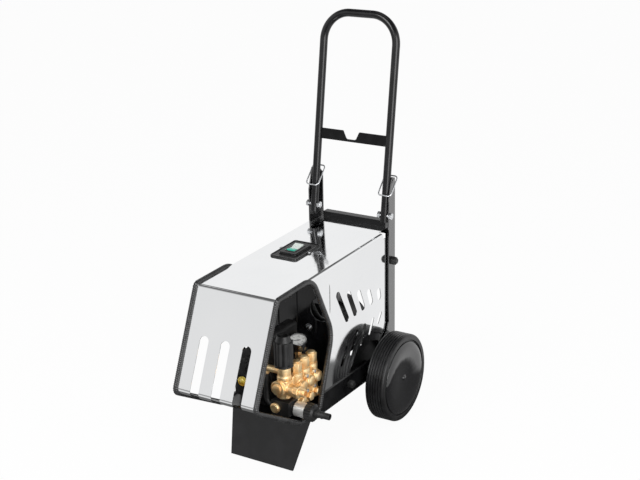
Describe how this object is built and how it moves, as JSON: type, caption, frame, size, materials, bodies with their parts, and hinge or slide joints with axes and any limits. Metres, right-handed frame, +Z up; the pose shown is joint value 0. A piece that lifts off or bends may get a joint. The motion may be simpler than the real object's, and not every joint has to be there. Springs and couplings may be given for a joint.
{
  "type": "pressure washer",
  "caption": "Wheeled commercial cold-water pressure washer with a polished sheet hood, open pump bay, plunger pump, motor and fold-down handle.",
  "frame": {"origin": "centre of the bounding box on the ground plane", "axes": "+Z up, the nose and front panel face -Y, the pump head faces +X, the wheel axle runs along X"},
  "size_m": [0.423, 0.7508, 1.1257],
  "materials": {
    "polished_steel": "mirror polished stainless sheet",
    "black_paint": "satin black powder coat",
    "trim_rubber": "ribbed black edge trim",
    "tyre": "black tyre rubber",
    "gloss_black": "glossy moulded black",
    "matte_black": "fine grained moulding",
    "zinc": "bright zinc plate",
    "motor_grey": "painted casting",
    "brass": "bead blasted brass",
    "clear_bowl": "silvery moulded bowl",
    "dial_white": "white dial",
    "glass": "clear lens",
    "amber": "oil behind a clear lens",
    "green": "glossy green moulding",
    "cable_rubber": "black sheath"
  },
  "bodies": {
    "machine": {"hood": "polished_steel", "trim_right": "trim_rubber", "trim_left": "trim_rubber", "base_tray": "black_paint", "rail_right": "black_paint", "rail_left": "black_paint", "front_foot": "black_paint", "upright_right": "black_paint", "upright_left": "black_paint", "cross_member": "black_paint", "axle": "zinc", "axle_spacers": "zinc", "bulkhead": "black_paint", "pivot_bolts": "zinc", "motor_housing": "motor_grey", "motor_feet": "motor_grey", "end_shields": "motor_grey", "fan_cover": "black_paint", "terminal_box": "matte_black", "bell_housing": "motor_grey", "crankcase": "black_paint", "crankcase_cover": "black_paint", "oil_plug": "matte_black", "oil_sight": "amber", "pump_head": "brass", "valve_caps": "brass", "head_bolts": "zinc", "unloader_body": "brass", "gauge_stem": "brass", "gauge_case": "gloss_black", "gauge_dial": "dial_white", "gauge_glass": "glass", "inlet_block": "matte_black", "inlet_plug": "brass", "inlet_filter": "clear_bowl", "hose_tail": "matte_black", "bypass_hose": "cable_rubber", "switch_frame": "matte_black", "motor_cable": "cable_rubber"},
    "wheel_right": {"tyre_right": "tyre", "rim_right": "matte_black", "hubcap_right": "gloss_black"},
    "wheel_left": {"tyre_left": "tyre", "rim_left": "matte_black", "hubcap_left": "gloss_black"},
    "handle": {"handle_tube": "black_paint", "hook_plate": "black_paint"},
    "ring_right": {"lock_ring_right": "zinc"},
    "ring_left": {"lock_ring_left": "zinc"},
    "knob_upright_right": {"upright_knob_right": "matte_black"},
    "knob_upright_left": {"upright_knob_left": "matte_black"},
    "knob_rail_right": {"rail_knob_right": "matte_black"},
    "knob_rail_left": {"rail_knob_left": "matte_black"},
    "rotor": {"motor_rotor": "zinc"},
    "regulator": {"regulator_knob": "matte_black"},
    "needle": {"gauge_needle": "matte_black"},
    "inlet_coupling": {"inlet_nut": "matte_black"},
    "rocker": {"switch_rocker": "green"}
  },
  "joints": [
    {"name": "wheel_right_spin", "type": "hinge", "parent": "machine", "child": "wheel_right", "pos_m": [0.177, 0.23928, 0.125], "axis": [1, 0, 0], "continuous": true},
    {"name": "wheel_left_spin", "type": "hinge", "parent": "machine", "child": "wheel_left", "pos_m": [-0.177, 0.23928, 0.125], "axis": [1, 0, 0], "continuous": true},
    {"name": "handle_fold", "type": "hinge", "parent": "machine", "child": "handle", "pos_m": [0, 0.28878, 0.5765], "axis": [1, 0, 0], "range_deg": [0, 97]},
    {"name": "ring_right_slide", "type": "slide", "parent": "handle", "child": "ring_right", "axis": [0, 0.1392, 0.9903], "range_m": [0, 0.06]},
    {"name": "ring_left_slide", "type": "slide", "parent": "handle", "child": "ring_left", "axis": [0, 0.1392, 0.9903], "range_m": [0, 0.06]},
    {"name": "upright_knob_right_turn", "type": "hinge", "parent": "machine", "child": "knob_upright_right", "pos_m": [0.131, 0.30128, 0.444], "axis": [1, 0, 0], "range_deg": [0, 540]},
    {"name": "upright_knob_left_turn", "type": "hinge", "parent": "machine", "child": "knob_upright_left", "pos_m": [-0.131, 0.30128, 0.444], "axis": [-1, 0, 0], "range_deg": [0, 540]},
    {"name": "rail_knob_right_turn", "type": "hinge", "parent": "machine", "child": "knob_rail_right", "pos_m": [0.1275, 0.06628, 0.16], "axis": [1, 0, 0], "range_deg": [0, 540]},
    {"name": "rail_knob_left_turn", "type": "hinge", "parent": "machine", "child": "knob_rail_left", "pos_m": [-0.1275, 0.06628, 0.16], "axis": [-1, 0, 0], "range_deg": [0, 540]},
    {"name": "motor_spin", "type": "hinge", "parent": "machine", "child": "rotor", "pos_m": [-0.02, 0.13928, 0.238], "axis": [0, 1, 0], "continuous": true},
    {"name": "regulator_turn", "type": "hinge", "parent": "machine", "child": "regulator", "pos_m": [0.08, -0.17772, 0.34], "axis": [0, 0, 1], "range_deg": [0, 900]},
    {"name": "gauge_needle_swing", "type": "hinge", "parent": "machine", "child": "needle", "pos_m": [0.06, -0.07922, 0.312], "axis": [-0.1867, 0.2756, -0.943], "range_deg": [0, 270], "stiffness_Nm_per_rad": 0.0005},
    {"name": "inlet_nut_turn", "type": "hinge", "parent": "machine", "child": "inlet_coupling", "pos_m": [0.15, -0.16472, 0.178], "axis": [1, 0, 0], "range_deg": [0, 900]},
    {"name": "rocker_switch", "type": "hinge", "parent": "machine", "child": "rocker", "pos_m": [-0.022, 0.04349, 0.51806], "axis": [1, 0, 0], "range_deg": [-8, 0]}
  ]
}
